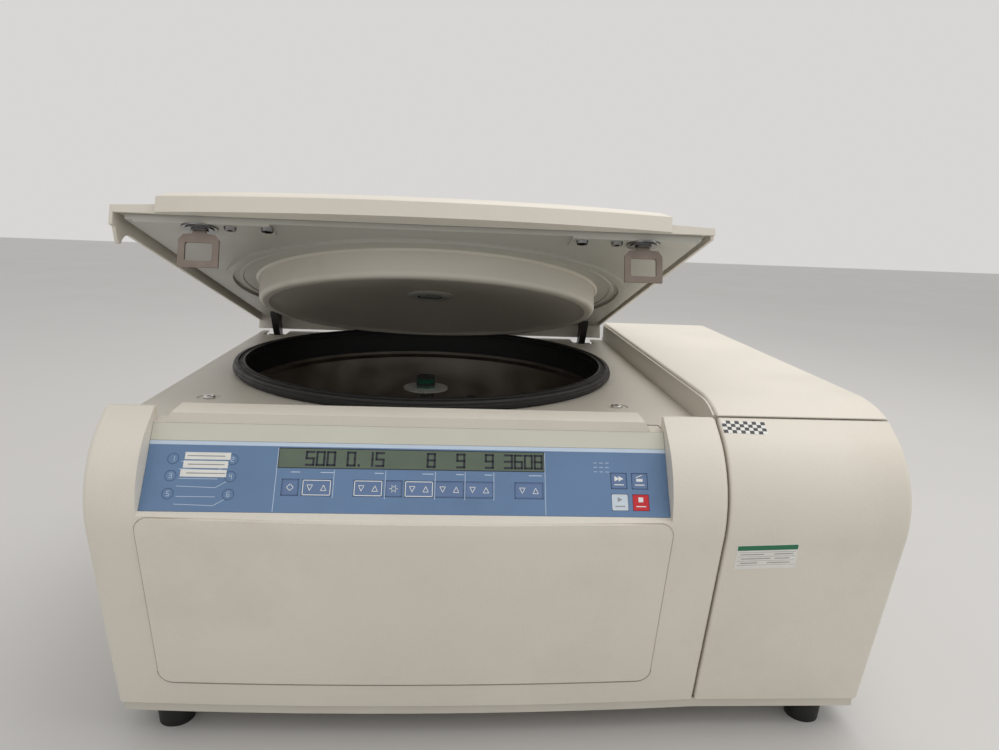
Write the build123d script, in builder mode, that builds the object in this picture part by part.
from build123d import *

import math
import os

# Refrigerated bench-top laboratory centrifuge, standing on its feet with the lid raised.
# Millimetres. +Z is up, the control panel faces -Y, the cooling side is at +X.

os.makedirs("parts", exist_ok=True)

# ---------------------------------------------------------------- driving dimensions
WIDTH = 745.0
DEPTH = 620.0
FOOT_HEIGHT = 25.0
BASE_TOP = 35.0
DECK_Z = 313.0
SHOULDER_Z = 328.5
WALL_TOP_Z = 338.5
COVER_TOP_Z = 342.0

SIDE_X = WIDTH / 2
FRONT_Y = -DEPTH / 2
REAR_Y = DEPTH / 2
REAR_PANEL_Y = REAR_Y - 10
SKIN = 3.0
SHEET = 2.0
SEAM = 0.3

# chamber
BOWL_X = -91.0
BOWL_Y = 46.0
SPINDLE_R = 12.0
BEARING_GAP = 0.05
GASKET_R = 240.0
SLEEVE_R = 231.0
BOWL_RIM_Z = 289.4
BOWL_R = 221.0
BOWL_FLOOR_Z = 130.0
DISC_Z = 281.8

# front covers
BOW = 9.0
PAD = 1.6
BULGE_Y = FRONT_Y + BOW + PAD
BULGE_Z = 243.0
BULGE_R = 90.0
LEAN = 11.0
BROW = 35.0
SHOULDER_BACK_Y = -241.7
SPLIT_X = 198.0
RECESS_X = (-326.5, 144.3)
LIP_Z = 324.6
LIP_BACK_Y = -230.6
LIP_BACK_Z = 328.5

# control panel: a flat plate that leans back in the recess
PANEL_TOP = (-251.6, 315.2)
PANEL_BOTTOM = (-296.2, 247.6)
PANEL_THICK = 3.0
KEY_GAP = 0.35
KEY_THICK = 2.0
COMMAND_KEY = 14.6
ROCKER_KEY = (25.6, 14.6)

# wall between the chamber and the cooling side
WALL_X = 195.4

# lid, drawn closed and then turned open about its hinge
LID_REST = 17.3
LID_X = -90.2
LID_HALF = 280.8
LID_FRONT_Y = -245.5
LID_REAR_Y = 294.0
LID_EDGE_Z = 349.0
LID_ARCH = 7.0
LID_PANEL_Z = 338.0
HINGE_Y = 290.0
HINGE_Z = 302.0
HINGE_PIN_R = 4.0
HINGE_X = (-338.0, 157.0)
PLUG_X = -88.0
PLUG_R = 215.0
PLUG_Z = 309.0
STRIKER_X = (-296.5, 125.5)
STRIKER_Y = -227.0

# cooling side
COMPRESSOR_X = 286.0
COMPRESSOR_Y = 60.0
FAN_X = 284.0
FAN_Z = 170.0
FAN_Y = 240.0


# ---------------------------------------------------------------- shared helpers
def level(z):
    """Horizontal plane at height z."""
    return Plane.XY.offset(z)


def side(x):
    """Plane facing +X at x, with local axes Y and Z."""
    return Plane.YZ.offset(x)


def front(y):
    """Plane facing -Y at y, with local axes X and Z."""
    return Plane.XZ.offset(-y)


LID_TURN = (
    Location((0, HINGE_Y, HINGE_Z))
    * Location((0, 0, 0), (-LID_REST, 0, 0))
    * Location((0, -HINGE_Y, -HINGE_Z))
)


def opened(plane):
    """The same plane after the lid has turned from closed to its rest angle."""
    return Plane(LID_TURN * plane.location)


def box_between(low, high, mode=Mode.ADD):
    """Block between two opposite corners."""
    size = [top - bottom for bottom, top in zip(low, high)]
    centre = tuple((bottom + top) / 2 for bottom, top in zip(low, high))
    with Locations(centre):
        Box(*size, mode=mode)


def lid_box(low, high):
    """Block between two opposite corners, given for the closed lid."""
    with BuildPart() as block:
        with BuildSketch(opened(level(low[2]))):
            with Locations(((low[0] + high[0]) / 2, (low[1] + high[1]) / 2)):
                Rectangle(high[0] - low[0], high[1] - low[1])
        extrude(amount=high[2] - low[2])
    return block.part


def fan_cylinder(y, radius, length):
    """Cylinder on the fan's axis that starts at y and runs towards the rear."""
    with BuildPart() as cylinder:
        with BuildSketch(front(y)):
            with Locations((FAN_X, FAN_Z)):
                Circle(radius)
        extrude(amount=-length)
    return cylinder.part


def outline(*points):
    """Flat face inside a closed line of straight pieces."""
    with BuildSketch() as shape:
        with BuildLine():
            Polyline(*points, points[0])
        make_face()
    return shape.sketch


# ---------------------------------------------------------------- base and feet
BASE_HALF = SIDE_X - 5.6
BASE_FRONT_Y = BULGE_Y + 41.0


def base_outline(inset):
    """Plan of the base tray: its front edge bows out under the left cover."""
    half = BASE_HALF - inset
    with BuildSketch() as shape:
        with BuildLine():
            Polyline(
                (-half, BASE_FRONT_Y + inset),
                (-half, REAR_PANEL_Y - SEAM - inset),
                (half, REAR_PANEL_Y - SEAM - inset),
                (half, BASE_FRONT_Y + inset),
                (SPLIT_X, BASE_FRONT_Y + inset),
            )
            ThreePointArc(
                (SPLIT_X, BASE_FRONT_Y + inset),
                ((SPLIT_X - half) / 2, BASE_FRONT_Y + inset - BOW),
                (-half, BASE_FRONT_Y + inset),
            )
        make_face()
    return shape.sketch


with BuildPart() as base_frame:
    with BuildSketch(level(FOOT_HEIGHT)):
        add(base_outline(0))
    extrude(amount=BASE_TOP - FOOT_HEIGHT)
    with BuildSketch(level(FOOT_HEIGHT + SHEET)):
        add(base_outline(SHEET))
    extrude(amount=BASE_TOP, mode=Mode.SUBTRACT)
    with BuildSketch(level(FOOT_HEIGHT)):
        with Locations((BOWL_X, BOWL_Y)):
            with PolarLocations(160, 16):
                SlotOverall(34, 7)
    extrude(amount=SHEET, mode=Mode.SUBTRACT)
base_frame.part.label = "base_frame"
export_step(base_frame.part, "parts/base_frame.step")

FOOT_R = 19.0
BUMPER_R = 10.0
MOUNT_CIRCLE = 76.0
MOUNT_HEIGHT = 20.0
with BuildPart() as rubber_feet:
    with BuildSketch(level(FOOT_HEIGHT)):
        with GridLocations(2 * (BASE_HALF - 40), 470, 2, 2):
            Circle(FOOT_R)
    extrude(amount=-FOOT_HEIGHT, taper=5)
    with BuildSketch(front(REAR_Y)):
        with Locations((0, 110)):
            with GridLocations(2 * (BASE_HALF - 22), 90, 2, 2):
                Circle(BUMPER_R)
    extrude(amount=REAR_Y - REAR_PANEL_Y - SHEET)
    with BuildSketch(level(FOOT_HEIGHT + SHEET)):
        with Locations((BOWL_X, BOWL_Y)):
            with PolarLocations(MOUNT_CIRCLE, 3, start_angle=30):
                Circle(14)
    extrude(amount=MOUNT_HEIGHT)
rubber_feet.part.label = "rubber_feet"
export_step(rubber_feet.part, "parts/rubber_feet.step")


# ---------------------------------------------------------------- front covers
def front_profile(inset, back_y, bottom_z, shift=0.0):
    """Side outline of the front covers: brow, bulge and a flank that leans in to the foot."""
    centre_y = BULGE_Y + BULGE_R + shift
    radius = BULGE_R - inset
    brow = math.radians(90 - BROW)
    lean = math.radians(LEAN)
    brow_end = (centre_y - radius * math.cos(brow), BULGE_Z + radius * math.sin(brow))
    bulge = (centre_y - radius, BULGE_Z)
    lean_start = (centre_y - radius * math.cos(lean), BULGE_Z - radius * math.sin(lean))
    top_z = SHOULDER_Z - inset
    top_y = brow_end[0] + (top_z - brow_end[1]) / math.tan(math.radians(BROW))
    foot_y = lean_start[0] + (lean_start[1] - bottom_z) * math.tan(lean)
    with BuildSketch() as shape:
        with BuildLine():
            Polyline((back_y + shift, top_z), (top_y, top_z), brow_end)
            ThreePointArc(brow_end, bulge, lean_start)
            Polyline(
                lean_start,
                (foot_y, bottom_z),
                (back_y + shift, bottom_z),
                (back_y + shift, top_z),
            )
        make_face()
    return shape.sketch


COVER_END = SPLIT_X - 0.8
COVER_MID = (COVER_END - SIDE_X) / 2
BOW_RADIUS = ((COVER_END + SIDE_X) / 2) ** 2 / (2 * BOW) + BOW / 2
BOW_AXIS_Y = BULGE_Y - BOW + BOW_RADIUS
BOW_ARC = 8.0


def bowed_prism(inset, back_y, bottom_z):
    """The side outline carried round a far upright axis, so that the cover bows outwards."""
    turn = math.radians(BOW_ARC / 2)
    start = Plane(
        origin=(COVER_MID, BOW_AXIS_Y, 0),
        x_dir=(math.sin(turn), math.cos(turn), 0),
        z_dir=(math.cos(turn), -math.sin(turn), 0),
    )
    with BuildPart() as prism:
        with BuildSketch(start):
            add(front_profile(inset, back_y, bottom_z, shift=-BOW - BOW_AXIS_Y))
        revolve(axis=Axis((COVER_MID, BOW_AXIS_Y, 0), (0, 0, 1)), revolution_arc=BOW_ARC)
    return prism.part


panel_rise = PANEL_TOP[0] - PANEL_BOTTOM[0]
panel_height = PANEL_TOP[1] - PANEL_BOTTOM[1]
PANEL_LENGTH = math.hypot(panel_rise, panel_height)
PANEL_OUT = (-panel_height / PANEL_LENGTH, panel_rise / PANEL_LENGTH)
LEDGE_DROP = 0.32


def recess_outline(wall):
    """Side outline of the recess over the panel seat, moved into the cover by wall."""
    depth = PANEL_THICK + wall
    seat_top = (PANEL_TOP[0] - depth * PANEL_OUT[0], PANEL_TOP[1] - depth * PANEL_OUT[1])
    seat_bottom = (
        PANEL_BOTTOM[0] - depth * PANEL_OUT[0],
        PANEL_BOTTOM[1] - depth * PANEL_OUT[1] - wall,
    )
    ledge = (PANEL_BOTTOM[0] + wall, PANEL_BOTTOM[1] - wall)
    reach = 40.0
    shelf_z = PANEL_TOP[1] - wall
    return outline(
        seat_top,
        seat_bottom,
        ledge,
        (ledge[0] - reach, ledge[1] - reach * LEDGE_DROP),
        (ledge[0] - reach, COVER_TOP_Z + reach),
        (SHOULDER_BACK_Y + reach, COVER_TOP_Z + reach),
        (SHOULDER_BACK_Y + reach, shelf_z),
        (PANEL_TOP[0], shelf_z),
    )


with BuildPart() as front_pad:
    add(bowed_prism(-PAD, SHOULDER_BACK_Y, BASE_TOP))
    with BuildSketch(front(FRONT_Y - 20)):
        with Locations(((RECESS_X[0] + RECESS_X[1]) / 2, 154)):
            RectangleRounded(473, 180, 12)
    extrude(amount=-95, mode=Mode.INTERSECT)

GROOVE_WIDE = 1.3
GROOVE_DEEP = 1.1
with BuildPart() as pad_groove:
    with BuildSketch(front(FRONT_Y - 20)):
        with Locations(((RECESS_X[0] + RECESS_X[1]) / 2, 154)):
            RectangleRounded(473 + 2 * GROOVE_WIDE, 180 + 2 * GROOVE_WIDE, 12 + GROOVE_WIDE)
            RectangleRounded(473, 180, 12, mode=Mode.SUBTRACT)
    extrude(amount=-95)
    add(bowed_prism(GROOVE_DEEP, SHOULDER_BACK_Y, BASE_TOP), mode=Mode.SUBTRACT)

# raised bar between the panel and the chamber, with sloping ends
with BuildPart() as front_lip:
    lip_foot = DECK_Z + SEAM
    with BuildSketch(side(RECESS_X[0])):
        section = outline(
            PANEL_TOP,
            (PANEL_TOP[0], LIP_Z),
            (PANEL_TOP[0] + 1, LIP_Z + 0.6),
            (LIP_BACK_Y, LIP_BACK_Z),
            (LIP_BACK_Y, lip_foot),
            (PANEL_TOP[0] + 4, lip_foot),
        )
        add(section)
    extrude(amount=RECESS_X[1] - RECESS_X[0])
    with BuildSketch(front(FRONT_Y)):
        elevation = outline(
            (RECESS_X[0], lip_foot - 1),
            (RECESS_X[0], PANEL_TOP[1] + 0.3),
            (RECESS_X[0] + 9, PANEL_TOP[1] + 0.3),
            (RECESS_X[0] + 20, LIP_BACK_Z + 1),
            (RECESS_X[1] - 22, LIP_BACK_Z + 1),
            (RECESS_X[1] - 12, PANEL_TOP[1] + 0.3),
            (RECESS_X[1], PANEL_TOP[1] + 0.3),
            (RECESS_X[1], lip_foot - 1),
        )
        add(elevation)
    extrude(amount=-120, mode=Mode.INTERSECT)

with BuildPart() as front_cavity:
    add(bowed_prism(SKIN, SHOULDER_BACK_Y + 60, BASE_TOP - 10))
    box_between(
        (-SIDE_X + SKIN, FRONT_Y - 20, 0),
        (COVER_END - SKIN, SHOULDER_BACK_Y + 12, COVER_TOP_Z),
        mode=Mode.INTERSECT,
    )
    with BuildSketch(side(RECESS_X[0] - SKIN)):
        add(recess_outline(SKIN))
    extrude(amount=RECESS_X[1] - RECESS_X[0] + 2 * SKIN, mode=Mode.SUBTRACT)
    box_between(
        (-SIDE_X - 10, SHOULDER_BACK_Y - SKIN, DECK_Z - 4),
        (COVER_END + 10, SHOULDER_BACK_Y + 60, COVER_TOP_Z),
        mode=Mode.SUBTRACT,
    )

with BuildPart() as front_cover:
    add(bowed_prism(0, SHOULDER_BACK_Y + 20, BASE_TOP))
    box_between(
        (-SIDE_X, FRONT_Y - 20, BASE_TOP),
        (COVER_END, SHOULDER_BACK_Y, COVER_TOP_Z),
        mode=Mode.INTERSECT,
    )
    cover_ends = front_cover.faces().sort_by(Axis.X)
    end_edges = cover_ends[0].edges() + cover_ends[-1].edges()
    round_edges = end_edges.filter_by(
        lambda edge: edge.center().Y < SHOULDER_BACK_Y - 0.5 and edge.center().Z > BASE_TOP + 0.5
    )
    fillet(round_edges, 6)
    add(front_pad.part)
    with BuildSketch(side(RECESS_X[0])):
        add(recess_outline(0))
    extrude(amount=RECESS_X[1] - RECESS_X[0], mode=Mode.SUBTRACT)
    add(pad_groove.part, mode=Mode.SUBTRACT)
    add(front_cavity.part, mode=Mode.SUBTRACT)
    add(front_lip.part)
front_cover.part.label = "front_cover"
export_step(front_cover.part, "parts/front_cover.step")

COOLING_START = SPLIT_X + 0.7
with BuildPart() as cooling_front_cover:
    with BuildSketch(side(COOLING_START)):
        add(front_profile(0, SHOULDER_BACK_Y, BASE_TOP))
    extrude(amount=SIDE_X - COOLING_START)
    end_edges = cooling_front_cover.faces().sort_by(Axis.X)[-1].edges()
    round_edges = end_edges.filter_by(
        lambda edge: edge.center().Y < SHOULDER_BACK_Y - 0.5 and edge.center().Z > BASE_TOP + 0.5
    )
    fillet(round_edges, 6)
    near_edges = cooling_front_cover.faces().sort_by(Axis.X)[0].edges()
    round_edges = near_edges.filter_by(
        lambda edge: edge.center().Y < SHOULDER_BACK_Y - 0.5 and edge.center().Z > BASE_TOP + 0.5
    )
    fillet(round_edges, 2)
    with BuildSketch(side(COOLING_START + SKIN)):
        add(front_profile(SKIN, SHOULDER_BACK_Y + 10, BASE_TOP - 10))
    extrude(amount=SIDE_X - COOLING_START - 2 * SKIN, mode=Mode.SUBTRACT)
cooling_front_cover.part.label = "cooling_front_cover"
export_step(cooling_front_cover.part, "parts/cooling_front_cover.step")

# ---------------------------------------------------------------- cooling side covers
TOP_FRONT = (SHOULDER_BACK_Y - 1.2, SHOULDER_Z + 1.6)
TOP_COVER_X = WALL_X + SHEET + SEAM
SKIRT_Z = 318.0


with BuildPart() as cooling_top_cover:
    with BuildSketch(side(TOP_COVER_X)):
        with BuildLine():
            Polyline(
                (SHOULDER_BACK_Y + 4, SKIRT_Z),
                (REAR_PANEL_Y + SHEET, SKIRT_Z),
                (REAR_PANEL_Y + SHEET, COVER_TOP_Z),
                (-188, COVER_TOP_Z),
            )
            ThreePointArc((-188, COVER_TOP_Z), (-218, COVER_TOP_Z - 3.2), (TOP_FRONT[0], TOP_FRONT[1] + 1))
            Polyline(
                (TOP_FRONT[0], TOP_FRONT[1] + 1),
                TOP_FRONT,
                (SHOULDER_BACK_Y + 4, TOP_FRONT[1]),
                (SHOULDER_BACK_Y + 4, SKIRT_Z),
            )
        make_face()
    extrude(amount=SIDE_X - TOP_COVER_X)
    ends = cooling_top_cover.faces().sort_by(Axis.X)
    near_edges = ends[0].edges().filter_by(lambda edge: edge.center().Z > TOP_FRONT[1] + 1.5)
    far_edges = ends[-1].edges().filter_by(lambda edge: edge.center().Z > TOP_FRONT[1] + 1.5)
    fillet(far_edges.filter_by(lambda edge: edge.center().Y < REAR_PANEL_Y), 8)
    fillet(near_edges.filter_by(lambda edge: edge.center().Y < REAR_PANEL_Y), 3)
    with BuildSketch(side(TOP_COVER_X + SKIN)):
        cavity = outline(
            (REAR_PANEL_Y + SHEET - SKIN, SKIRT_Z - 5),
            (REAR_PANEL_Y + SHEET - SKIN, COVER_TOP_Z - SKIN),
            (-192, COVER_TOP_Z - SKIN),
            (-216, COVER_TOP_Z - 3.2 - SKIN),
            (SHOULDER_BACK_Y + 7, COVER_TOP_Z - 11),
            (SHOULDER_BACK_Y + 7, SKIRT_Z - 5),
        )
        add(cavity)
    extrude(amount=SIDE_X - TOP_COVER_X - 2 * SKIN, mode=Mode.SUBTRACT)
cooling_top_cover.part.label = "cooling_top_cover"
export_step(cooling_top_cover.part, "parts/cooling_top_cover.step")

SIDE_SHEET = 2.5
SIDE_FRONT_Y = SHOULDER_BACK_Y + SEAM
SIDE_LENGTH = REAR_PANEL_Y - SEAM - SIDE_FRONT_Y
ROLL_R = 10.0
DECK_LEFT_X = -SIDE_X + ROLL_R

with BuildPart() as left_side_panel:
    with BuildSketch(front(SIDE_FRONT_Y)):
        with BuildLine():
            Line((-SIDE_X, BASE_TOP), (-SIDE_X, DECK_Z - ROLL_R))
            CenterArc((DECK_LEFT_X, DECK_Z - ROLL_R), ROLL_R, 90, 90)
            Line((DECK_LEFT_X, DECK_Z), (DECK_LEFT_X, DECK_Z - SIDE_SHEET))
            CenterArc((DECK_LEFT_X, DECK_Z - ROLL_R), ROLL_R - SIDE_SHEET, 90, 90)
            Line((-SIDE_X + SIDE_SHEET, DECK_Z - ROLL_R), (-SIDE_X + SIDE_SHEET, BASE_TOP))
            Line((-SIDE_X + SIDE_SHEET, BASE_TOP), (-SIDE_X, BASE_TOP))
        make_face()
    extrude(amount=-SIDE_LENGTH)
left_side_panel.part.label = "left_side_panel"
export_step(left_side_panel.part, "parts/left_side_panel.step")

with BuildPart() as right_side_panel:
    box_between(
        (SIDE_X - SIDE_SHEET, SIDE_FRONT_Y, BASE_TOP),
        (SIDE_X, SIDE_FRONT_Y + SIDE_LENGTH, SKIRT_Z - SEAM),
    )
    with BuildSketch(side(SIDE_X - 10)):
        with Locations((-70, 150)):
            with GridLocations(12, 1, 14, 1):
                SlotOverall(110, 5, rotation=90)
    extrude(amount=20, mode=Mode.SUBTRACT)
right_side_panel.part.label = "right_side_panel"
export_step(right_side_panel.part, "parts/right_side_panel.step")

INLET = (-300.0, 75.0)
SWITCH = (-240.0, 75.0)
SWITCH_SIZE = (14.0, 22.0)
INLET_SIZE = (48.0, 28.0)
with BuildPart() as rear_panel:
    with BuildSketch(front(REAR_PANEL_Y + SHEET)):
        half = SIDE_X - SKIN
        with BuildLine():
            Polyline(
                (-half, BASE_TOP + SEAM),
                (half, BASE_TOP + SEAM),
                (half, SKIRT_Z - SEAM),
                (WALL_X, SKIRT_Z - SEAM),
                (WALL_X, DECK_Z - SHEET - SEAM),
                (-half, DECK_Z - SHEET - SEAM),
                (-half, BASE_TOP + SEAM),
            )
        make_face()
        with Locations((FAN_X, FAN_Z)):
            with GridLocations(8, 1, 17, 1):
                SlotOverall(130, 4.5, rotation=90, mode=Mode.SUBTRACT)
        with Locations((BOWL_X, 80)):
            with GridLocations(9, 1, 13, 1):
                SlotOverall(44, 4.5, rotation=90, mode=Mode.SUBTRACT)
        with Locations(INLET):
            Rectangle(INLET_SIZE[0] + SEAM, INLET_SIZE[1] + SEAM, mode=Mode.SUBTRACT)
        with Locations(SWITCH):
            Rectangle(SWITCH_SIZE[0] + 4 + SEAM, SWITCH_SIZE[1] + 4 + SEAM, mode=Mode.SUBTRACT)
        with Locations([(x, DECK_Z) for x in HINGE_X]):
            Rectangle(44, 50, mode=Mode.SUBTRACT)
    extrude(amount=SHEET)
rear_panel.part.label = "rear_panel"
export_step(rear_panel.part, "parts/rear_panel.step")

# ---------------------------------------------------------------- deck and partition
STRIKER_SLOT = (46.0, 14.0)
ARM_SLOT = (34.0, 46.0)
DIMPLES = [(-310.0, -148.0), (122.0, -148.0)]
DECK_FRONT_Y = SHOULDER_BACK_Y + 5
DECK_REAR_Y = REAR_PANEL_Y - SEAM
DECK_RIGHT_X = WALL_X - 0.2

with BuildPart() as deck_plate:
    with BuildSketch(level(DECK_Z - SHEET)):
        with Locations(((DECK_LEFT_X + 0.2 + DECK_RIGHT_X) / 2, (DECK_FRONT_Y + DECK_REAR_Y) / 2)):
            Rectangle(DECK_RIGHT_X - DECK_LEFT_X - 0.2, DECK_REAR_Y - DECK_FRONT_Y)
        with Locations((BOWL_X, BOWL_Y)):
            Circle(SLEEVE_R, mode=Mode.SUBTRACT)
        with Locations([(x, STRIKER_Y + 2) for x in STRIKER_X]):
            RectangleRounded(*STRIKER_SLOT, 3, mode=Mode.SUBTRACT)
        with Locations([(x, DECK_REAR_Y - ARM_SLOT[1] / 2 + 4) for x in HINGE_X]):
            RectangleRounded(ARM_SLOT[0], ARM_SLOT[1] + 8, 7, mode=Mode.SUBTRACT)
        with Locations(DIMPLES):
            Circle(3.2, mode=Mode.SUBTRACT)
    extrude(amount=SHEET)
    with BuildSketch(level(DECK_Z - 1)):
        with Locations(DIMPLES):
            Circle(12)
    extrude(amount=2, mode=Mode.SUBTRACT)
deck_plate.part.label = "deck_plate"
export_step(deck_plate.part, "parts/deck_plate.step")

with BuildPart() as deck_screws:
    with BuildSketch(level(DECK_Z - 1)):
        with Locations(DIMPLES):
            Circle(6.2)
    extrude(amount=2.6)
    fillet(deck_screws.edges().group_by(Axis.Z)[-1], 1.4)
    with BuildSketch(level(DECK_Z + 1.8)):
        with Locations(DIMPLES):
            RegularPolygon(2.6, 6)
    extrude(amount=-1.6, mode=Mode.SUBTRACT)
    with BuildSketch(level(DECK_Z - 1)):
        with Locations(DIMPLES):
            Circle(2.9)
    extrude(amount=-9)
deck_screws.part.label = "deck_screws"
export_step(deck_screws.part, "parts/deck_screws.step")

WALL_FRONT_Y = SHOULDER_BACK_Y + 4.5
with BuildPart() as cooling_partition:
    with BuildSketch(side(WALL_X)):
        with BuildLine():
            Polyline(
                (REAR_PANEL_Y - 3, FOOT_HEIGHT + SHEET),
                (REAR_PANEL_Y - 3, WALL_TOP_Z),
                (WALL_FRONT_Y + 38, WALL_TOP_Z),
            )
            ThreePointArc(
                (WALL_FRONT_Y + 38, WALL_TOP_Z),
                (WALL_FRONT_Y + 17, WALL_TOP_Z - 2.6),
                (WALL_FRONT_Y, WALL_TOP_Z - 9),
            )
            Polyline(
                (WALL_FRONT_Y, WALL_TOP_Z - 9),
                (WALL_FRONT_Y, FOOT_HEIGHT + SHEET),
                (REAR_PANEL_Y - 3, FOOT_HEIGHT + SHEET),
            )
        make_face()
    extrude(amount=SHEET)
    with BuildSketch(side(WALL_X)):
        with Locations((FAN_Y + 20, 100), (120, 60)):
            Circle(11)
    extrude(amount=SHEET, mode=Mode.SUBTRACT)
cooling_partition.part.label = "cooling_partition"
export_step(cooling_partition.part, "parts/cooling_partition.step")

# ---------------------------------------------------------------- chamber
CHAMBER_AXIS = Axis((BOWL_X, BOWL_Y, 0), (0, 0, 1))
CHAMBER_SECTION = Plane(origin=(BOWL_X, BOWL_Y, 0), x_dir=(1, 0, 0), z_dir=(0, -1, 0))


def chamber_ring(points):
    """Ring turned from a closed outline of radius and height about the chamber's axis."""
    with BuildPart() as ring:
        with BuildSketch(CHAMBER_SECTION):
            add(outline(*points))
        revolve(axis=CHAMBER_AXIS)
    return ring.part


with BuildPart() as bowl_gasket:
    seat = DECK_Z + 0.2
    ring = chamber_ring(
        [
            (GASKET_R - 12.6, seat),
            (GASKET_R - 2.5, seat),
            (GASKET_R - 2.5, seat + 2.0),
            (GASKET_R, seat + 3.0),
            (GASKET_R, seat + 9.5),
            (GASKET_R - 1.4, seat + 11.6),
            (GASKET_R - 4.0, seat + 12.3),
            (GASKET_R - 6.2, seat + 12.3),
            (GASKET_R - 7.0, seat + 11.0),
            (GASKET_R - 8.2, seat + 11.0),
            (GASKET_R - 9.0, seat + 12.3),
            (GASKET_R - 11.6, seat + 12.3),
            (GASKET_R - 13.4, seat + 10.6),
            (GASKET_R - 13.4, seat + 8.6),
            (GASKET_R - 12.4, seat + 7.8),
            (GASKET_R - 12.4, seat + 6.4),
            (GASKET_R - 13.4, seat + 5.6),
            (GASKET_R - 13.4, seat + 3.6),
            (GASKET_R - 12.6, seat + 2.8),
        ]
    )
    add(ring)
bowl_gasket.part.label = "bowl_gasket"
export_step(bowl_gasket.part, "parts/bowl_gasket.step")

with BuildPart() as bowl_sleeve:
    ring = chamber_ring(
        [
            (SLEEVE_R - 2.2, BOWL_RIM_Z + 0.2),
            (SLEEVE_R - 0.2, BOWL_RIM_Z + 0.2),
            (SLEEVE_R - 0.2, DECK_Z),
            (SLEEVE_R - 2.2, DECK_Z),
        ]
    )
    add(ring)
bowl_sleeve.part.label = "bowl_sleeve"
export_step(bowl_sleeve.part, "parts/bowl_sleeve.step")

BOWL_SHEET = 1.5
BOWL_CORNER = 42.0
MOTOR_HOLE_R = 47.0


def bowl_form(grow):
    """Solid form of the bowl from its axis outwards, grown by grow all round."""
    wall_top = BOWL_R + grow
    wall_foot = BOWL_R - 4 + grow
    floor_z = BOWL_FLOOR_Z - grow
    corner = BOWL_CORNER + grow
    bend = corner * (1 - math.sqrt(0.5))
    with BuildPart() as form:
        with BuildSketch(CHAMBER_SECTION):
            with BuildLine():
                Polyline(
                    (0, floor_z),
                    (0, BOWL_RIM_Z),
                    (SLEEVE_R - 2.2 + grow, BOWL_RIM_Z),
                    (SLEEVE_R - 2.2 + grow, BOWL_RIM_Z - 4 - grow),
                    (wall_top, BOWL_RIM_Z - 8 - grow),
                    (wall_foot, floor_z + corner),
                )
                ThreePointArc(
                    (wall_foot, floor_z + corner),
                    (wall_foot - bend, floor_z + bend),
                    (wall_foot - corner, floor_z),
                )
                Line((wall_foot - corner, floor_z), (0, floor_z))
            make_face()
        revolve(axis=CHAMBER_AXIS)
    return form.part


with BuildPart() as rotor_bowl:
    add(bowl_form(BOWL_SHEET))
    add(bowl_form(0), mode=Mode.SUBTRACT)
    with BuildSketch(level(0)):
        with Locations((BOWL_X, BOWL_Y)):
            Circle(MOTOR_HOLE_R)
    extrude(amount=BOWL_FLOOR_Z + 20, mode=Mode.SUBTRACT)
rotor_bowl.part.label = "rotor_bowl"
export_step(rotor_bowl.part, "parts/rotor_bowl.step")

INSULATION_R = 249.0
COIL_R = 229.5
COIL_TUBE_R = 4.5
COIL_TURNS = 9
with BuildPart() as bowl_insulation:
    ring = chamber_ring(
        [
            (INSULATION_R - 13, 299.0),
            (INSULATION_R, 299.0),
            (INSULATION_R, 108.0),
            (MOTOR_HOLE_R + 15, 108.0),
            (MOTOR_HOLE_R + 15, 124.0),
            (188.0, 124.0),
            (INSULATION_R - 13, 160.0),
        ]
    )
    add(ring)
bowl_insulation.part.label = "bowl_insulation"
export_step(bowl_insulation.part, "parts/bowl_insulation.step")

with BuildPart() as evaporator_coil:
    for turn in range(COIL_TURNS):
        with BuildSketch(CHAMBER_SECTION):
            with Locations((COIL_R, 180 + 11 * turn)):
                Circle(COIL_TUBE_R)
        revolve(axis=CHAMBER_AXIS)
evaporator_coil.part.label = "evaporator_coil"
export_step(evaporator_coil.part, "parts/evaporator_coil.step")

# ---------------------------------------------------------------- drive
MOTOR_R = 58.0
MOTOR_FOOT_Z = 52.0
MOTOR_TOP_Z = 106.0
TOWER_TOP_Z = 240.0
ROTOR_LOW_Z = 62.0
ROTOR_HIGH_Z = 98.0

with BuildPart() as motor_housing:
    ring = chamber_ring(
        [
            (SPINDLE_R + BEARING_GAP, MOTOR_FOOT_Z),
            (MOTOR_R, MOTOR_FOOT_Z),
            (MOTOR_R, MOTOR_TOP_Z),
            (MOTOR_HOLE_R - 2, MOTOR_TOP_Z + 3),
            (MOTOR_HOLE_R - 2, BOWL_FLOOR_Z + 4),
            (24.0, TOWER_TOP_Z - 24),
            (24.0, TOWER_TOP_Z),
            (SPINDLE_R + BEARING_GAP, TOWER_TOP_Z),
            (SPINDLE_R + BEARING_GAP, ROTOR_HIGH_Z + 3),
            (MOTOR_R - 5, ROTOR_HIGH_Z + 3),
            (MOTOR_R - 5, ROTOR_LOW_Z - 3),
            (SPINDLE_R + BEARING_GAP, ROTOR_LOW_Z - 3),
        ]
    )
    add(ring)
    with BuildSketch(level(FOOT_HEIGHT + SHEET + MOUNT_HEIGHT)):
        with Locations((BOWL_X, BOWL_Y)):
            Circle(MOTOR_R + 4)
            with PolarLocations(MOUNT_CIRCLE, 3, start_angle=30):
                Circle(19)
            Circle(18, mode=Mode.SUBTRACT)
    extrude(amount=MOTOR_FOOT_Z - FOOT_HEIGHT - SHEET - MOUNT_HEIGHT + 0.5)
motor_housing.part.label = "motor_housing"
export_step(motor_housing.part, "parts/motor_housing.step")

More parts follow.
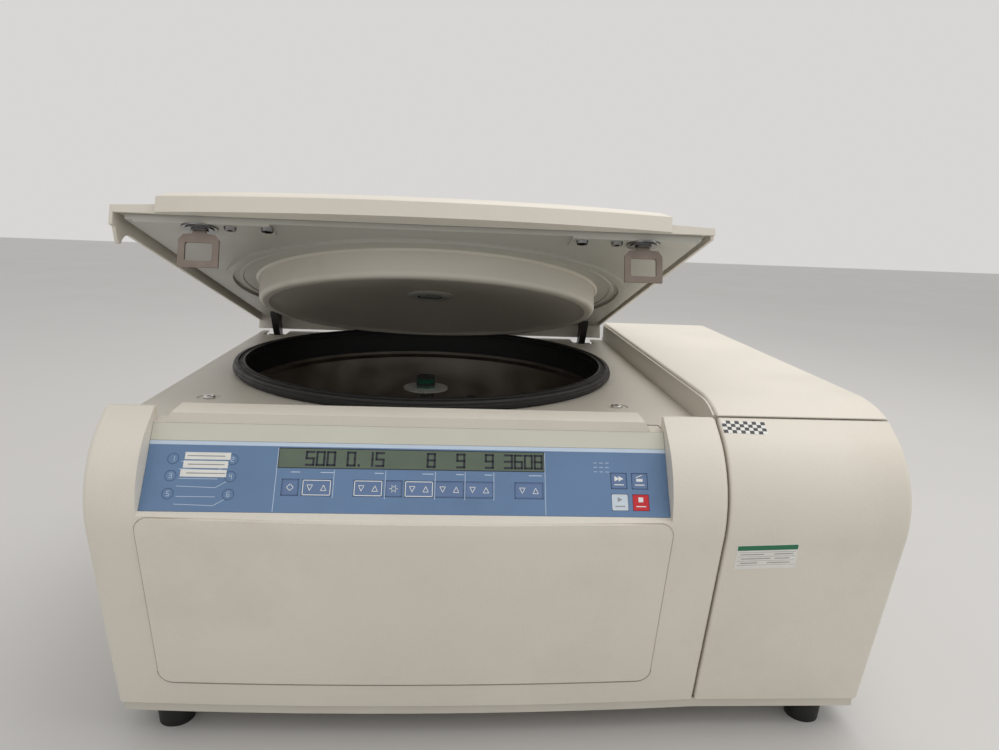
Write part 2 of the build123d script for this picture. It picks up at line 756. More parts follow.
with BuildPart() as motor_rotor:
    ring = chamber_ring(
        [
            (SPINDLE_R, ROTOR_LOW_Z),
            (MOTOR_R - 7, ROTOR_LOW_Z),
            (MOTOR_R - 7, ROTOR_HIGH_Z),
            (SPINDLE_R, ROTOR_HIGH_Z),
        ]
    )
    add(ring)
motor_rotor.part.label = "motor_rotor"
export_step(motor_rotor.part, "parts/motor_rotor.step")

with BuildPart() as drive_spindle:
    with BuildSketch(level(MOTOR_FOOT_Z + 1)):
        with Locations((BOWL_X, BOWL_Y)):
            Circle(SPINDLE_R)
    extrude(amount=DISC_Z - MOTOR_FOOT_Z - 1)
drive_spindle.part.label = "drive_spindle"
export_step(drive_spindle.part, "parts/drive_spindle.step")

DISC_R = 29.0
DISC_THICK = 2.0
with BuildPart() as spindle_disc:
    with BuildSketch(level(DISC_Z)):
        with Locations((BOWL_X, BOWL_Y)):
            Circle(DISC_R)
            with PolarLocations(22, 12):
                Circle(1.7, mode=Mode.SUBTRACT)
    extrude(amount=DISC_THICK)
spindle_disc.part.label = "spindle_disc"
export_step(spindle_disc.part, "parts/spindle_disc.step")

COLLAR_Z = DISC_Z + DISC_THICK
COLLAR_HEIGHT = 12.2
with BuildPart() as spindle_collar:
    with BuildSketch(level(COLLAR_Z)):
        with Locations((BOWL_X, BOWL_Y)):
            Circle(SPINDLE_R)
    extrude(amount=COLLAR_HEIGHT)
spindle_collar.part.label = "spindle_collar"
export_step(spindle_collar.part, "parts/spindle_collar.step")

with BuildPart() as spindle_cap:
    with BuildSketch(level(COLLAR_Z + COLLAR_HEIGHT)):
        with Locations((BOWL_X, BOWL_Y)):
            Circle(SPINDLE_R - 0.2)
    extrude(amount=3.4)
    chamfer(spindle_cap.edges().group_by(Axis.Z)[-1], 0.8)
    with BuildSketch(level(COLLAR_Z + COLLAR_HEIGHT + 3.4)):
        with Locations((BOWL_X, BOWL_Y)):
            Circle(2.4)
    extrude(amount=1.2)
spindle_cap.part.label = "spindle_cap"
export_step(spindle_cap.part, "parts/spindle_cap.step")

with BuildPart() as rotor_sensor:
    box_between((-36, 42, BOWL_FLOOR_Z), (-22, 54, BOWL_FLOOR_Z + 5))
    box_between((-34, 45, BOWL_FLOOR_Z + 5), (-26, 51, 262))
    with BuildSketch(side(-36)):
        with BuildLine():
            Polyline((42, 262), (54, 262), (54, 272), (47, 272), (42, 266), (42, 262))
        make_face()
    extrude(amount=12)
rotor_sensor.part.label = "rotor_sensor"
export_step(rotor_sensor.part, "parts/rotor_sensor.step")

# ---------------------------------------------------------------- lid locks
LOCK_LOW_Z = 262.0
LOCK_HIGH_Z = DECK_Z - SHEET - SEAM
LOCK_Y = (STRIKER_Y - 14, STRIKER_Y + 30)
LOCK_HALF = 28.0
HOOK_PIVOT = (STRIKER_Y + 18, 279.0)
HOOK_PIN_R = 3.0
HOOK_WIDTH = 8.0

with BuildPart() as lock_housings:
    for lock_x in STRIKER_X:
        box_between((lock_x - LOCK_HALF, LOCK_Y[0], LOCK_LOW_Z), (lock_x + LOCK_HALF, LOCK_Y[1], LOCK_HIGH_Z))
        box_between(
            (lock_x - LOCK_HALF + 3, LOCK_Y[0] + 3, LOCK_LOW_Z + 3),
            (lock_x + LOCK_HALF - 3, LOCK_Y[1] - 3, LOCK_HIGH_Z + 1),
            mode=Mode.SUBTRACT,
        )
        with BuildSketch(side(lock_x - LOCK_HALF - 1)):
            with Locations(HOOK_PIVOT):
                Circle(HOOK_PIN_R)
        extrude(amount=2 * LOCK_HALF + 2, mode=Mode.SUBTRACT)
lock_housings.part.label = "lock_housings"
export_step(lock_housings.part, "parts/lock_housings.step")

with BuildPart() as pivot_pins:
    for lock_x in STRIKER_X:
        with BuildSketch(side(lock_x - LOCK_HALF)):
            with Locations(HOOK_PIVOT):
                Circle(HOOK_PIN_R)
        extrude(amount=2 * LOCK_HALF)
    for arm_x in HINGE_X:
        with BuildSketch(side(arm_x - 24)):
            with Locations((HINGE_Y, HINGE_Z)):
                Circle(HINGE_PIN_R)
        extrude(amount=48)
pivot_pins.part.label = "pivot_pins"
export_step(pivot_pins.part, "parts/pivot_pins.step")

for hook_name, lock_x in zip(("lock_hook_left", "lock_hook_right"), STRIKER_X):
    with BuildPart() as lock_hook:
        pivot_y, pivot_z = HOOK_PIVOT
        nose_z = LOCK_HIGH_Z - 1.5
        with BuildSketch(side(lock_x - HOOK_WIDTH / 2)):
            with BuildLine():
                Polyline(
                    (pivot_y - 5, pivot_z),
                    (pivot_y + 5, pivot_z),
                    (pivot_y + 4, nose_z),
                    (pivot_y - 15, nose_z - 1),
                    (pivot_y - 15, nose_z - 3),
                    (pivot_y - 4, nose_z - 6),
                    (pivot_y - 5, pivot_z),
                )
            make_face()
            with Locations(HOOK_PIVOT):
                Circle(7)
                Circle(HOOK_PIN_R + BEARING_GAP, mode=Mode.SUBTRACT)
        extrude(amount=HOOK_WIDTH)
    lock_hook.part.label = hook_name
    export_step(lock_hook.part, f"parts/{hook_name}.step")

# ---------------------------------------------------------------- lid hinge
BRACKET_IN = 20.0
BRACKET_OUT = 24.0
with BuildPart() as hinge_brackets:
    for arm_x in HINGE_X:
        box_between((arm_x - BRACKET_OUT, 274, 284), (arm_x + BRACKET_OUT, 299, 288))
        for low_x in (arm_x - BRACKET_OUT, arm_x + BRACKET_IN):
            box_between((low_x, 276, 288), (low_x + BRACKET_OUT - BRACKET_IN, 298, DECK_Z - SHEET - SEAM))
            with BuildSketch(side(low_x - 1)):
                with Locations((HINGE_Y, HINGE_Z)):
                    Circle(HINGE_PIN_R)
            extrude(amount=6, mode=Mode.SUBTRACT)
hinge_brackets.part.label = "hinge_brackets"
export_step(hinge_brackets.part, "parts/hinge_brackets.step")

ARM_HALF = 5.0
SPRING_WIRE_R = 1.1
with BuildPart() as hinge_springs:
    for arm_x in HINGE_X:
        for turn in range(4):
            for sign in (-1, 1):
                ring_x = arm_x + sign * (ARM_HALF + 2.4 + 2.4 * turn)
                with BuildSketch(Plane(origin=(ring_x, HINGE_Y, HINGE_Z), x_dir=(1, 0, 0), z_dir=(0, 0, 1))):
                    with Locations((0, 6.2)):
                        Circle(SPRING_WIRE_R)
                revolve(axis=Axis((0, HINGE_Y, HINGE_Z), (1, 0, 0)))
hinge_springs.part.label = "hinge_springs"
export_step(hinge_springs.part, "parts/hinge_springs.step")

ARM_FOOT_Z = LID_PANEL_Z
with BuildPart() as hinge_arms:
    for arm_x in HINGE_X:
        with BuildSketch(opened(side(arm_x - ARM_HALF))):
            with Locations((HINGE_Y, HINGE_Z)):
                Circle(9)
            with BuildLine():
                Polyline(
                    (HINGE_Y - 9, HINGE_Z - 2),
                    (HINGE_Y + 9, HINGE_Z),
                    (HINGE_Y - 2, ARM_FOOT_Z - 18),
                    (HINGE_Y - 9, ARM_FOOT_Z - 10),
                    (HINGE_Y - 9, ARM_FOOT_Z),
                    (HINGE_Y - 46, ARM_FOOT_Z),
                    (HINGE_Y - 44, ARM_FOOT_Z - 5),
                    (HINGE_Y - 9, HINGE_Z - 2),
                )
            make_face()
            with Locations((HINGE_Y, HINGE_Z)):
                Circle(HINGE_PIN_R + BEARING_GAP, mode=Mode.SUBTRACT)
        extrude(amount=2 * ARM_HALF)
hinge_arms.part.label = "hinge_arms"
export_step(hinge_arms.part, "parts/hinge_arms.step")

# ---------------------------------------------------------------- lid
LID_LEFT = LID_X - LID_HALF
LID_RIGHT = LID_X + LID_HALF
LID_DEPTH = LID_REAR_Y - LID_FRONT_Y
LEFT_SKIRT_Z = 331.0
RIGHT_SKIRT_Z = 339.0
FRONT_SKIRT_Z = 342.5
REAR_SKIRT_Z = 318.0
BAR_X = (RECESS_X[0] - 3, RECESS_X[1] + 3)
BAR_LOW_Z = 342.5
BAR_EDGE_Z = 356.5
BAR_FRONT_Y = -265.5
BAR_BOW = 15.5
WINDOW_TUBE_R = 23.6
WINDOW_R = 17.0


def arch_region(low_left, low_right, drop=0.0):
    """Front outline between the arched top and the given heights of the two ends."""
    left = LID_LEFT + drop
    right = LID_RIGHT - drop
    with BuildSketch() as shape:
        with BuildLine():
            Line((left, low_left), (left, LID_EDGE_Z - drop))
            ThreePointArc(
                (left, LID_EDGE_Z - drop),
                (LID_X, LID_EDGE_Z + LID_ARCH - drop),
                (right, LID_EDGE_Z - drop),
            )
            Polyline((right, LID_EDGE_Z - drop), (right, low_right), (left, low_left))
        make_face()
    return shape.sketch


with BuildPart() as lid_shell:
    with BuildSketch(opened(front(LID_FRONT_Y))):
        add(arch_region(LEFT_SKIRT_Z, RIGHT_SKIRT_Z))
    extrude(amount=-LID_DEPTH)
    with BuildSketch(opened(front(LID_FRONT_Y + SKIN))):
        add(arch_region(LEFT_SKIRT_Z - 20, LEFT_SKIRT_Z - 20, drop=SKIN))
    extrude(amount=-(LID_DEPTH - 2 * SKIN), mode=Mode.SUBTRACT)
    front_opening = lid_box(
        (LID_LEFT + SKIN, LID_FRONT_Y - 1, LEFT_SKIRT_Z - 10),
        (LID_RIGHT + 1, LID_FRONT_Y + SKIN + 1, FRONT_SKIRT_Z),
    )
    add(front_opening, mode=Mode.SUBTRACT)
    # deeper skirt along the rear edge that hides the hinges
    rear_skirt = lid_box(
        (LID_LEFT, LID_REAR_Y - SKIN, REAR_SKIRT_Z),
        (LID_RIGHT, LID_REAR_Y, RIGHT_SKIRT_Z + 2),
    )
    add(rear_skirt)
    # hooked tail at the front end of the left skirt
    with BuildSketch(opened(side(LID_LEFT))):
        with BuildLine():
            Polyline(
                (LID_FRONT_Y, LID_EDGE_Z - 4),
                (LID_FRONT_Y, FRONT_SKIRT_Z),
                (LID_FRONT_Y + 14, 319.5),
                (LID_FRONT_Y + 17, 317.5),
                (LID_FRONT_Y + 20, 317.8),
            )
            Spline(
                (LID_FRONT_Y + 20, 317.8),
                (LID_FRONT_Y + 25, 325),
                (LID_FRONT_Y + 44, LEFT_SKIRT_Z),
            )
            Polyline(
                (LID_FRONT_Y + 44, LEFT_SKIRT_Z),
                (LID_FRONT_Y + 44, LID_EDGE_Z - 4),
                (LID_FRONT_Y, LID_EDGE_Z - 4),
            )
        make_face()
    extrude(amount=SKIN)
    with BuildSketch(opened(level(LID_EDGE_Z - 10))):
        with Locations((PLUG_X, BOWL_Y)):
            Circle(WINDOW_TUBE_R + 0.3)
    extrude(amount=30, mode=Mode.SUBTRACT)
lid_shell.part.label = "lid_shell"
export_step(lid_shell.part, "parts/lid_shell.step")

with BuildPart() as lid_envelope:
    with BuildSketch(opened(front(LID_FRONT_Y - 0.2))):
        add(arch_region(LEFT_SKIRT_Z - 30, LEFT_SKIRT_Z - 30, drop=-0.1))
    extrude(amount=-LID_DEPTH)

bar_radius = ((BAR_X[1] - BAR_X[0]) / 2) ** 2 / (2 * BAR_BOW) + BAR_BOW / 2
bar_mid_x = (BAR_X[0] + BAR_X[1]) / 2
bar_turn = 9.0
with BuildPart() as lid_handle:
    half_turn = math.radians(bar_turn / 2 + 4)
    bar_start = Plane(
        origin=(bar_mid_x, BAR_FRONT_Y + bar_radius, 0),
        x_dir=(math.sin(half_turn), math.cos(half_turn), 0),
        z_dir=(math.cos(half_turn), -math.sin(half_turn), 0),
    )
    with BuildSketch(opened(bar_start)):
        with BuildLine():
            Polyline(
                (-bar_radius, BAR_LOW_Z),
                (-bar_radius, BAR_EDGE_Z + 0.5),
                (-bar_radius + 1.2, BAR_EDGE_Z + 2),
                (-bar_radius + 9, BAR_EDGE_Z + 7.6),
            )
            ThreePointArc(
                (-bar_radius + 9, BAR_EDGE_Z + 7.6),
                (-bar_radius + 22, BAR_EDGE_Z + 8.8),
                (-bar_radius + 44, BAR_EDGE_Z + 6.5),
            )
            Polyline(
                (-bar_radius + 44, BAR_EDGE_Z + 6.5),
                (-bar_radius + 130, LID_EDGE_Z),
                (-bar_radius + 130, BAR_LOW_Z),
                (-bar_radius, BAR_LOW_Z),
            )
        make_face()
    revolve(
        axis=Axis(opened(Plane((bar_mid_x, BAR_FRONT_Y + bar_radius, 0))).origin, opened(level(0)).z_dir),
        revolution_arc=2 * math.degrees(half_turn),
    )
    with BuildSketch(opened(front(BAR_FRONT_Y - 20))):
        with BuildLine():
            Polyline(
                (BAR_X[0], BAR_LOW_Z - 9),
                (BAR_X[0], BAR_EDGE_Z),
                (BAR_X[0] + 9, BAR_EDGE_Z + 5.5),
            )
            ThreePointArc(
                (BAR_X[0] + 9, BAR_EDGE_Z + 5.5),
                (bar_mid_x, BAR_EDGE_Z + 9.2),
                (BAR_X[1] - 9, BAR_EDGE_Z + 5.5),
            )
            Polyline(
                (BAR_X[1] - 9, BAR_EDGE_Z + 5.5),
                (BAR_X[1], BAR_EDGE_Z),
                (BAR_X[1], BAR_LOW_Z - 9),
                (BAR_X[0], BAR_LOW_Z - 9),
            )
        make_face()
    extrude(amount=-200, mode=Mode.INTERSECT)
    add(lid_envelope.part, mode=Mode.SUBTRACT)
lid_handle.part.label = "lid_handle"
export_step(lid_handle.part, "parts/lid_handle.step")

PANEL_HALF = 269.5
PANEL_FRONT_Y = LID_FRONT_Y + 6
PANEL_REAR_Y = LID_REAR_Y - 6
PAD_DEPTH = 2.0
RING_OUT_R = 254.0
with BuildPart() as lid_inner_panel:
    plate = lid_box(
        (LID_X - PANEL_HALF, PANEL_FRONT_Y, LID_PANEL_Z),
        (LID_X + PANEL_HALF, PANEL_REAR_Y, LID_PANEL_Z + SHEET),
    )
    add(plate)
    flange = lid_box(
        (LID_X - PANEL_HALF, PANEL_FRONT_Y, LID_PANEL_Z),
        (LID_X + PANEL_HALF, PANEL_FRONT_Y + SHEET, LID_EDGE_Z - SKIN - 0.5),
    )
    add(flange)
    # raised pads that carry the strikers
    with BuildSketch(opened(level(LID_PANEL_Z))):
        for mirror_sign in (-1, 1):
            with BuildLine() as pad_line:
                inner = mirror_sign * 142.0
                outer = mirror_sign * 243.0
                Polyline(
                    (PLUG_X + inner, PANEL_FRONT_Y),
                    (PLUG_X + inner, PANEL_FRONT_Y + 30),
                    (PLUG_X + inner + mirror_sign * 8, PANEL_FRONT_Y + 37),
                    (PLUG_X + outer - mirror_sign * 12, PANEL_FRONT_Y + 37),
                )
                Spline(
                    (PLUG_X + outer - mirror_sign * 12, PANEL_FRONT_Y + 37),
                    (PLUG_X + outer, PANEL_FRONT_Y + 29),
                    (PLUG_X + outer + mirror_sign * 5, PANEL_FRONT_Y + 12),
                    (PLUG_X + outer + mirror_sign * 12, PANEL_FRONT_Y + 5),
                )
                Polyline(
                    (PLUG_X + outer + mirror_sign * 12, PANEL_FRONT_Y + 5),
                    (PLUG_X + outer + mirror_sign * 22, PANEL_FRONT_Y + 4),
                    (PLUG_X + outer + mirror_sign * 22, PANEL_FRONT_Y),
                    (PLUG_X + inner, PANEL_FRONT_Y),
                )
            make_face()
    extrude(amount=-PAD_DEPTH)
    # round bead outside the gasket and the flat seat inside it
    with BuildSketch(opened(level(LID_PANEL_Z))):
        with Locations((PLUG_X, BOWL_Y)):
            Circle(RING_OUT_R)
            Circle(RING_OUT_R - 8, mode=Mode.SUBTRACT)
        with Locations((LID_X, 0)):
            Rectangle(2 * PANEL_HALF, 2 * PANEL_REAR_Y - 10, mode=Mode.INTERSECT)
    extrude(amount=-3.5)
    with BuildSketch(opened(level(LID_PANEL_Z))):
        with Locations((PLUG_X, BOWL_Y)):
            Circle(WINDOW_TUBE_R + 0.3)
    extrude(amount=SHEET, mode=Mode.SUBTRACT)
lid_inner_panel.part.label = "lid_inner_panel"
export_step(lid_inner_panel.part, "parts/lid_inner_panel.step")

PLUG_TOP_Z = LID_PANEL_Z - 0.2
plug_section = opened(Plane(origin=(PLUG_X, BOWL_Y, 0), x_dir=(1, 0, 0), z_dir=(0, -1, 0)))
plug_axis = Axis(plug_section.origin, opened(level(0)).z_dir)
with BuildPart() as lid_plug:
    with BuildSketch(plug_section):
        with BuildLine():
            Line((PLUG_R, PLUG_TOP_Z), (PLUG_R, PLUG_Z + 6))
            ThreePointArc((PLUG_R, PLUG_Z + 6), (PLUG_R - 1.8, PLUG_Z + 1.8), (PLUG_R - 6, PLUG_Z))
            Line((PLUG_R - 6, PLUG_Z), (PLUG_R - 12, PLUG_Z))
            Line((PLUG_R - 12, PLUG_Z), (PLUG_R - 15, PLUG_Z + 2.2))
            ThreePointArc((PLUG_R - 15, PLUG_Z + 2.2), (130, PLUG_Z + 14), (30, PLUG_Z + 23))
            Polyline(
                (30, PLUG_Z + 23),
                (WINDOW_TUBE_R + 0.2, PLUG_Z + 23),
                (WINDOW_TUBE_R + 0.2, PLUG_TOP_Z),
                (PLUG_R, PLUG_TOP_Z),
            )
        make_face()
    revolve(axis=plug_axis)
lid_plug.part.label = "lid_plug"
export_step(lid_plug.part, "parts/lid_plug.step")

with BuildPart() as lid_window_tube:
    with BuildSketch(opened(level(PLUG_Z + 21))):
        with Locations((PLUG_X, BOWL_Y)):
            Circle(WINDOW_TUBE_R)
            Circle(WINDOW_R, mode=Mode.SUBTRACT)
    extrude(amount=LID_EDGE_Z + LID_ARCH - PLUG_Z - 22)
lid_window_tube.part.label = "lid_window_tube"
export_step(lid_window_tube.part, "parts/lid_window_tube.step")

with BuildPart() as lid_window:
    for pane_z in (PLUG_Z + 23, LID_EDGE_Z + 1):
        with BuildSketch(opened(level(pane_z))):
            with Locations((PLUG_X, BOWL_Y)):
                Circle(WINDOW_R - 0.1)
        extrude(amount=3)
lid_window.part.label = "lid_window"
export_step(lid_window.part, "parts/lid_window.step")

STRIKER_TOP = 331.0
STRIKER_LOW = 298.0
STRIKER_HALF = 18.6
PAD_Z = LID_PANEL_Z - PAD_DEPTH
with BuildPart() as strikers:
    for striker_x in STRIKER_X:
        with BuildSketch(opened(front(STRIKER_Y - 1.5))):
            with BuildLine():
                Polyline(
                    (striker_x - STRIKER_HALF, STRIKER_LOW),
                    (striker_x + STRIKER_HALF, STRIKER_LOW),
                    (striker_x + STRIKER_HALF, STRIKER_TOP - 7),
                    (striker_x + STRIKER_HALF - 4, STRIKER_TOP - 2),
                    (striker_x + 6, STRIKER_TOP - 1),
                    (striker_x + 6, STRIKER_TOP + 1),
                    (striker_x - 6, STRIKER_TOP + 1),
                    (striker_x - 6, STRIKER_TOP - 1),
                    (striker_x - STRIKER_HALF + 4, STRIKER_TOP - 2),
                    (striker_x - STRIKER_HALF, STRIKER_TOP - 7),
                    (striker_x - STRIKER_HALF, STRIKER_LOW),
                )
            make_face()
            with Locations((striker_x, 312.8)):
                RectangleRounded(25, 17.4, 2, mode=Mode.SUBTRACT)
        extrude(amount=-3)
strikers.part.label = "strikers"
export_step(strikers.part, "parts/strikers.step")

SCREW_X = [PLUG_X + 3.5 + offset for offset in (-183.0, -149.0, 149.0, 183.0)]
with BuildPart() as lid_fasteners:
    with BuildSketch(opened(level(PAD_Z))):
        with Locations([(x, STRIKER_Y - 4) for x in SCREW_X]):
            Circle(6.0)
    extrude(amount=-3.2, taper=14)
    with BuildSketch(opened(level(PAD_Z - 3.2))):
        with Locations([(x, STRIKER_Y - 4) for x in SCREW_X]):
            RegularPolygon(2.8, 6)
    extrude(amount=2, mode=Mode.SUBTRACT)
    for radius, top_z, height in ((16.5, PAD_Z, 1.6), (13.0, PAD_Z - 1.6, 1.0), (8.0, PAD_Z - 2.6, 1.4)):
        with BuildSketch(opened(level(top_z))):
            with Locations([(x, STRIKER_Y) for x in STRIKER_X]):
                Circle(radius)
        extrude(amount=-height)
lid_fasteners.part.label = "lid_fasteners"
export_step(lid_fasteners.part, "parts/lid_fasteners.step")

# ---------------------------------------------------------------- control panel
PANEL_MID = (
    (RECESS_X[0] + RECESS_X[1]) / 2,
    (PANEL_TOP[0] + PANEL_BOTTOM[0]) / 2,
    (PANEL_TOP[1] + PANEL_BOTTOM[1]) / 2,
)
PANEL = Plane(origin=PANEL_MID, x_dir=(1, 0, 0), z_dir=(0, PANEL_OUT[0], PANEL_OUT[1]))
PANEL_WIDE = RECESS_X[1] - RECESS_X[0] - 0.5
PANEL_TALL = PANEL_LENGTH - 0.5
DISPLAY_SIZE = (240.4, 17.6)
DISPLAY_UP = 9.3
COMMAND_KEYS = {
    "key_pulse": (189.4, -7.1),
    "key_open": (208.8, -7.1),
    "key_start": (189.4, -27.0),
    "key_stop": (208.8, -27.0),
}
ROCKER_UP = -17.5
ICON_KEYS = {
    "key_program": -107.8,
    "key_precool": -16.2,
}
ROCKER_KEYS = {
    "key_speed": -84.5,
    "key_time": -39.0,
    "key_temperature": 6.4,
    "key_acceleration": 33.8,
    "key_braking": 60.8,
    "key_radius": 106.0,
}

with BuildPart() as control_panel:
    with BuildSketch(PANEL.offset(-PANEL_THICK)):
        Rectangle(PANEL_WIDE, PANEL_TALL)
        with Locations((0, DISPLAY_UP)):
            Rectangle(*DISPLAY_SIZE, mode=Mode.SUBTRACT)
        with Locations(list(COMMAND_KEYS.values())):
            Rectangle(COMMAND_KEY + 2 * KEY_GAP, COMMAND_KEY + 2 * KEY_GAP, mode=Mode.SUBTRACT)
        with Locations([(x, ROCKER_UP) for x in ROCKER_KEYS.values()]):
            Rectangle(ROCKER_KEY[0] + 2 * KEY_GAP, ROCKER_KEY[1] + 2 * KEY_GAP, mode=Mode.SUBTRACT)
        with Locations([(x, ROCKER_UP) for x in ICON_KEYS.values()]):
            Rectangle(COMMAND_KEY + 2 * KEY_GAP, COMMAND_KEY + 2 * KEY_GAP, mode=Mode.SUBTRACT)
    extrude(amount=PANEL_THICK)
control_panel.part.label = "control_panel"
export_step(control_panel.part, "parts/control_panel.step")

with BuildPart() as display_window:
    with BuildSketch(PANEL):
        with Locations((0, DISPLAY_UP)):
            Rectangle(DISPLAY_SIZE[0] - 0.2, DISPLAY_SIZE[1] - 0.2)
    extrude(amount=-0.8)
display_window.part.label = "display_window"
export_step(display_window.part, "parts/display_window.step")

SMALL_KEYS = COMMAND_KEYS | {name: (x, ROCKER_UP) for name, x in ICON_KEYS.items()}
for key_name, key_spot in SMALL_KEYS.items():
    with BuildPart() as key:
        with BuildSketch(PANEL):
            with Locations(key_spot):
                RectangleRounded(COMMAND_KEY, COMMAND_KEY, 1)
        extrude(amount=-KEY_THICK)
    key.part.label = key_name
    export_step(key.part, f"parts/{key_name}.step")

for key_name, key_x in ROCKER_KEYS.items():
    with BuildPart() as key:
        with BuildSketch(PANEL):
            with Locations((key_x, ROCKER_UP)):
                RectangleRounded(*ROCKER_KEY, 1)
        extrude(amount=-KEY_THICK)
    key.part.label = key_name
    export_step(key.part, f"parts/{key_name}.step")

# ---------------------------------------------------------------- cooling machinery
FLOOR_Z = FOOT_HEIGHT + SHEET
with BuildPart() as compressor:
    with BuildSketch(level(FLOOR_Z + 14)):
        with Locations((COMPRESSOR_X, COMPRESSOR_Y)):
            Ellipse(66, 78)
    extrude(amount=120)
    fillet(compressor.edges().group_by(Axis.Z)[-1], 30)
    with BuildSketch(level(FLOOR_Z + 10)):
        with Locations((COMPRESSOR_X, COMPRESSOR_Y)):
            RectangleRounded(140, 160, 10)
    extrude(amount=4)
    with BuildSketch(level(FLOOR_Z)):
        with Locations((COMPRESSOR_X, COMPRESSOR_Y)):
            with GridLocations(112, 134, 2, 2):
                Circle(9)
    extrude(amount=10)
compressor.part.label = "compressor"
export_step(compressor.part, "parts/compressor.step")

CONDENSER_Y = (262.0, 290.0)
with BuildPart() as condenser:
    box_between((FAN_X - 72, CONDENSER_Y[0], FAN_Z - 72), (FAN_X + 72, CONDENSER_Y[1], FAN_Z + 72))
    with BuildSketch(side(FAN_X - 80)):
        with Locations(((CONDENSER_Y[0] + CONDENSER_Y[1]) / 2, FAN_Z)):
            with GridLocations(1, 20, 1, 7):
                Circle(4)
    extrude(amount=160)
condenser.part.label = "condenser"
export_step(condenser.part, "parts/condenser.step")

FAN_R = 60.0
HUB_R = 20.0
FAN_PIN_R = 3.0
with BuildPart() as fan_shroud:
    box_between((FAN_X - 72, FAN_Y - 16, FAN_Z - 72), (FAN_X + 72, FAN_Y + 20, FAN_Z + 72))
    add(fan_cylinder(FAN_Y - 20, FAN_R + 3, 60), mode=Mode.SUBTRACT)
    for spoke in range(3):
        with BuildSketch(front(FAN_Y - 16)):
            with Locations((FAN_X, FAN_Z)):
                with Locations(Location((0, 0), 120.0 * spoke)):
                    with Locations((0, (FAN_R + 8) / 2)):
                        Rectangle(7, FAN_R + 8)
        extrude(amount=-4)
    add(fan_cylinder(FAN_Y - 16, HUB_R, 9))
    add(fan_cylinder(FAN_Y - 16, FAN_PIN_R, 26))
    with BuildSketch(level(FOOT_HEIGHT + SHEET)):
        with Locations((FAN_X, FAN_Y)):
            Rectangle(110, 20)
    extrude(amount=FAN_Z - 72 - FOOT_HEIGHT - SHEET)
fan_shroud.part.label = "fan_shroud"
export_step(fan_shroud.part, "parts/fan_shroud.step")

BLADES = 5
with BuildPart() as fan_rotor:
    add(fan_cylinder(FAN_Y - 6, HUB_R, 18))
    for blade in range(BLADES):
        angle = 360.0 / BLADES * blade
        root = Plane(
            origin=(
                FAN_X + (HUB_R - 3) * math.cos(math.radians(angle)),
                FAN_Y + 3,
                FAN_Z + (HUB_R - 3) * math.sin(math.radians(angle)),
            ),
            x_dir=(-math.sin(math.radians(angle)), 0, math.cos(math.radians(angle))),
            z_dir=(math.cos(math.radians(angle)), 0, math.sin(math.radians(angle))),
        )
        with BuildSketch(root):
            SlotOverall(21, 2, rotation=35)
        with BuildSketch(root.offset(FAN_R - HUB_R + 1)):
            SlotOverall(34, 1.6, rotation=22)
        loft()
    add(fan_cylinder(FAN_Y - 20, FAN_PIN_R + BEARING_GAP, 60), mode=Mode.SUBTRACT)
fan_rotor.part.label = "fan_rotor"
export_step(fan_rotor.part, "parts/fan_rotor.step")

PIPE_R = 5.0
with BuildPart() as refrigerant_pipes:
    suction = (
        (COMPRESSOR_X - 20, COMPRESSOR_Y - 30, FLOOR_Z + 134),
        (COMPRESSOR_X - 20, COMPRESSOR_Y - 30, 215),
        (COMPRESSOR_X - 60, COMPRESSOR_Y - 90, 245),
        (WALL_X + SHEET + SEAM, COMPRESSOR_Y - 90, 245),
    )
    with BuildLine():
        FilletPolyline(*suction, radius=10)
    with BuildSketch(Plane(origin=suction[0], z_dir=(0, 0, 1))):
        Circle(PIPE_R)
    sweep()
    dryer = (COMPRESSOR_X + 20, COMPRESSOR_Y - 140, 60)
    with BuildSketch(Plane(origin=dryer, z_dir=(0, 0, 1))):
        Circle(13)
    extrude(amount=90)
    fillet(refrigerant_pipes.edges().filter_by(GeomType.CIRCLE).sort_by(Axis.Z)[0], 5)
refrigerant_pipes.part.label = "refrigerant_pipes"
export_step(refrigerant_pipes.part, "parts/refrigerant_pipes.step")

# ---------------------------------------------------------------- electrics
BOARD_DEPTH = PANEL_THICK + 2 * SKIN + 4
with BuildPart() as circuit_boards:
    box_between((-352, 150, FLOOR_Z + 8), (-350, 290, 170))
    for fin in range(9):
        fin_y = 162 + fin * 14
        box_between((-350, fin_y, FLOOR_Z + 20), (-328, fin_y + 3, 160))
    box_between((-350, 158, FLOOR_Z + 18), (-346, 282, 162))
    box_between((-356, 146, FLOOR_Z), (-340, 292, FLOOR_Z + 8))
    with BuildSketch(PANEL.offset(-BOARD_DEPTH)):
        with Locations((0, -2)):
            Rectangle(420, 62)
    extrude(amount=-1.6)
    with BuildSketch(PANEL.offset(-BOARD_DEPTH - 1.6)):
        with Locations((-120, -4), (10, 0), (120, -8)):
            Rectangle(46, 30)
    extrude(amount=-7)
circuit_boards.part.label = "circuit_boards"
export_step(circuit_boards.part, "parts/circuit_boards.step")

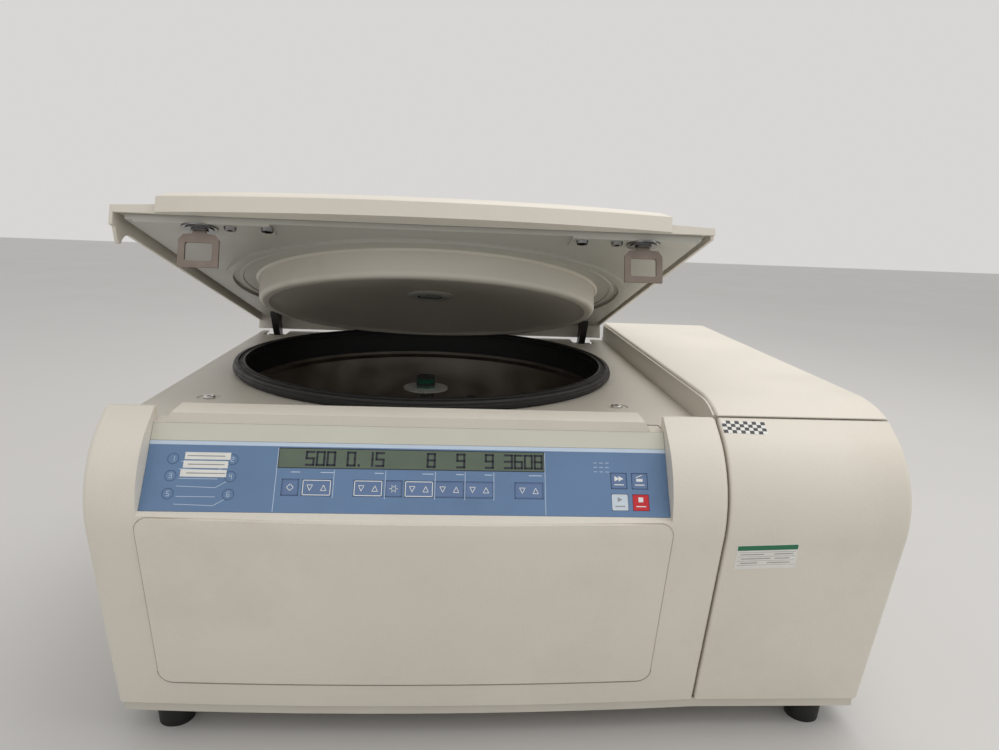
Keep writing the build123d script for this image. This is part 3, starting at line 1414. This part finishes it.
with BuildPart() as power_inlet:
    box_between(
        (INLET[0] - INLET_SIZE[0] / 2, REAR_PANEL_Y - 22, INLET[1] - INLET_SIZE[1] / 2),
        (INLET[0] + INLET_SIZE[0] / 2, REAR_PANEL_Y + SHEET, INLET[1] + INLET_SIZE[1] / 2),
    )
    with BuildSketch(front(REAR_PANEL_Y + SHEET + 3)):
        with Locations(INLET):
            RectangleRounded(INLET_SIZE[0] + 14, INLET_SIZE[1] + 6, 3)
    extrude(amount=3)
    with BuildSketch(front(REAR_PANEL_Y + SHEET + 4)):
        with Locations(INLET):
            RectangleRounded(28, 20, 3)
    extrude(amount=19, mode=Mode.SUBTRACT)
    with BuildSketch(front(REAR_PANEL_Y - 13)):
        with Locations(INLET):
            with Locations((-8, 0), (0, 0), (8, 0)):
                Rectangle(2, 5)
    extrude(amount=-12)
    box_between(
        (SWITCH[0] - 9, REAR_PANEL_Y - 16, SWITCH[1] - 13),
        (SWITCH[0] + 9, REAR_PANEL_Y + SHEET, SWITCH[1] + 13),
    )
    with BuildSketch(front(REAR_PANEL_Y + SHEET + 2)):
        with Locations(SWITCH):
            Rectangle(22, 30)
    extrude(amount=2)
    box_between(
        (SWITCH[0] - 7.4, REAR_PANEL_Y - 10, SWITCH[1] - 11.8),
        (SWITCH[0] + 7.4, REAR_PANEL_Y + SHEET + 3, SWITCH[1] + 11.8),
        mode=Mode.SUBTRACT,
    )
power_inlet.part.label = "power_inlet"
export_step(power_inlet.part, "parts/power_inlet.step")

SWITCH_PIVOT_Y = REAR_PANEL_Y - 3
SWITCH_TIP = 10.0
with BuildPart() as mains_switch:
    with BuildSketch(side(SWITCH[0] - 7)):
        rocker = outline((-3, -4), (5, -8.8), (8, -9.4), (5.8, 0), (8, 9.4), (5, 8.8), (-3, 4))
        with Locations(Location((SWITCH_PIVOT_Y, SWITCH[1]), SWITCH_TIP)):
            add(rocker)
    extrude(amount=14)
    with BuildSketch(side(SWITCH[0] - 7.2)):
        with Locations((SWITCH_PIVOT_Y, SWITCH[1])):
            Circle(1.8)
    extrude(amount=14.4)
mains_switch.part.label = "mains_switch"
export_step(mains_switch.part, "parts/mains_switch.step")
